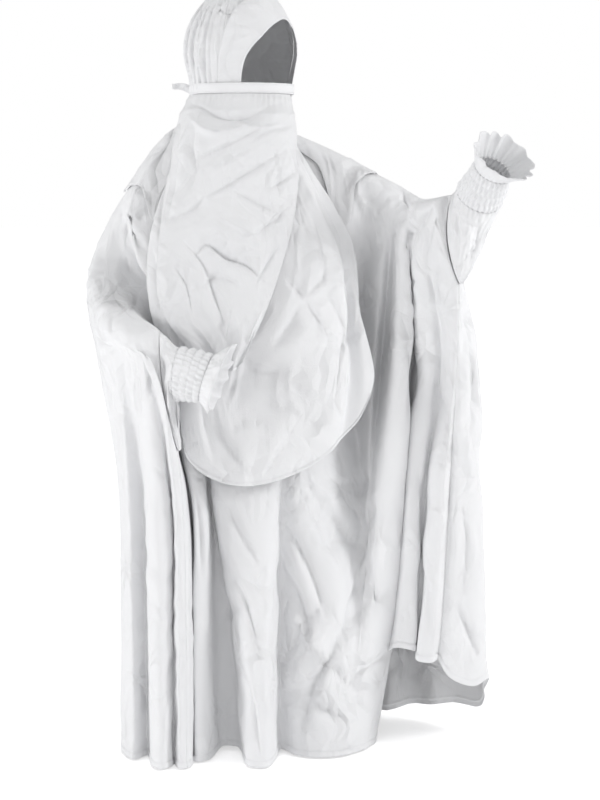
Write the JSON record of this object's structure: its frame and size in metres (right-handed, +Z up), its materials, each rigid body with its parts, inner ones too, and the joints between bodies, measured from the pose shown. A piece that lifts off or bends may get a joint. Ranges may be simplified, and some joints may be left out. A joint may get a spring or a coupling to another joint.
{
  "type": "khimar",
  "caption": "Floor-length overhead khimar of white cloth with hood, face veil, round bib, back cape and smocked ruffled cuffs, in worn form.",
  "frame": {"origin": "inside of the hood's crown, where the wearer's head holds the garment up", "axes": "+Z up, -Y out of the wearer's chest, +X toward the raised arm"},
  "size_m": [0.974, 0.5963, 1.6996],
  "materials": {
    "white_poplin": "matt woven cotton blend",
    "white_poplin_light": "matt woven cotton blend"
  },
  "bodies": {
    "root": {"robe_front": "white_poplin", "robe_back": "white_poplin", "shoulder_panel_left": "white_poplin", "shoulder_panel_right": "white_poplin", "cape_back": "white_poplin", "bib": "white_poplin", "veil": "white_poplin_light", "veil_band": "white_poplin_light", "veil_knot": "white_poplin_light", "veil_tie_short": "white_poplin_light", "veil_tie_long": "white_poplin_light", "hood_face_band": "white_poplin_light", "hood_crown": "white_poplin_light", "sleeve_left": "white_poplin", "cuff_left": "white_poplin_light", "ruffle_left": "white_poplin_light", "sleeve_right": "white_poplin", "cuff_right": "white_poplin_light", "ruffle_right": "white_poplin_light"}
  },
  "joints": []
}
